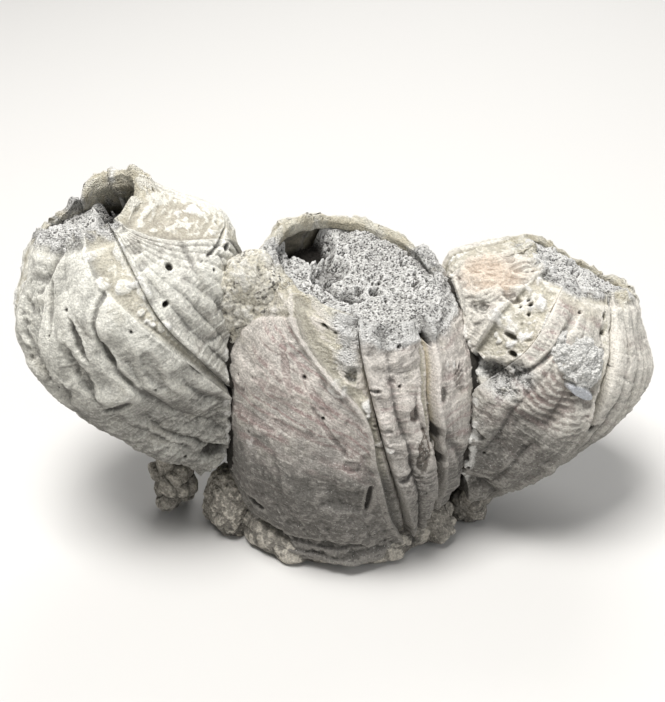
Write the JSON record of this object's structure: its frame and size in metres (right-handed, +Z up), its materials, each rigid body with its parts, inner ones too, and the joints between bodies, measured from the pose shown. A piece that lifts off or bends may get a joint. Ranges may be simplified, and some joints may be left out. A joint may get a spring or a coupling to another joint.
{
  "type": "barnacle cluster",
  "caption": "Fossil cluster of large acorn barnacles fanning out from a small crust, with ribbed wall plates and sediment-filled openings.",
  "frame": {"origin": "centre of the bounding box at its base, on the cut underside of the crust", "axes": "+Z up, the front of the cluster faces -Y, +X to the viewer's right along the row of three shells"},
  "size_m": [0.1156, 0.0489, 0.0678],
  "materials": {
    "middle_shell_wall": "matt limy shell with mauve growth bands and grey dirt low down",
    "left_shell_wall": "matt limy shell, off-white to grey, smooth cream strips between the plates",
    "right_shell_wall": "matt limy shell, off-white and peach, worn, with brown growth rings",
    "sediment": "rough cemented sand, grey and white grains",
    "crust": "rough knobbly limy crust, dirty grey",
    "chalky_growth": "granular chalk white"
  },
  "bodies": {
    "root": {"crust": "crust", "middle_shell_front_left_plate": "middle_shell_wall", "middle_shell_front_plate": "middle_shell_wall", "middle_shell_right_plate": "middle_shell_wall", "middle_shell_back_right_plate": "middle_shell_wall", "middle_shell_back_plate": "middle_shell_wall", "middle_shell_back_left_plate": "middle_shell_wall", "left_shell_front_plate": "left_shell_wall", "left_shell_inner_front_plate": "left_shell_wall", "left_shell_inner_back_plate": "left_shell_wall", "left_shell_back_plate": "left_shell_wall", "left_shell_outer_back_plate": "left_shell_wall", "left_shell_outer_plate": "left_shell_wall", "right_shell_inner_front_plate": "right_shell_wall", "right_shell_front_plate": "right_shell_wall", "right_shell_outer_front_plate": "right_shell_wall", "right_shell_outer_back_plate": "right_shell_wall", "right_shell_back_plate": "right_shell_wall", "right_shell_inner_back_plate": "right_shell_wall", "middle_shell_sediment": "sediment", "left_shell_sediment": "sediment", "right_shell_sediment": "sediment", "left_foot": "crust", "right_foot": "crust", "left_skirt": "crust", "right_skirt": "crust", "left_seam_crust": "crust", "right_shell_chalky_growth": "chalky_growth"}
  },
  "joints": []
}
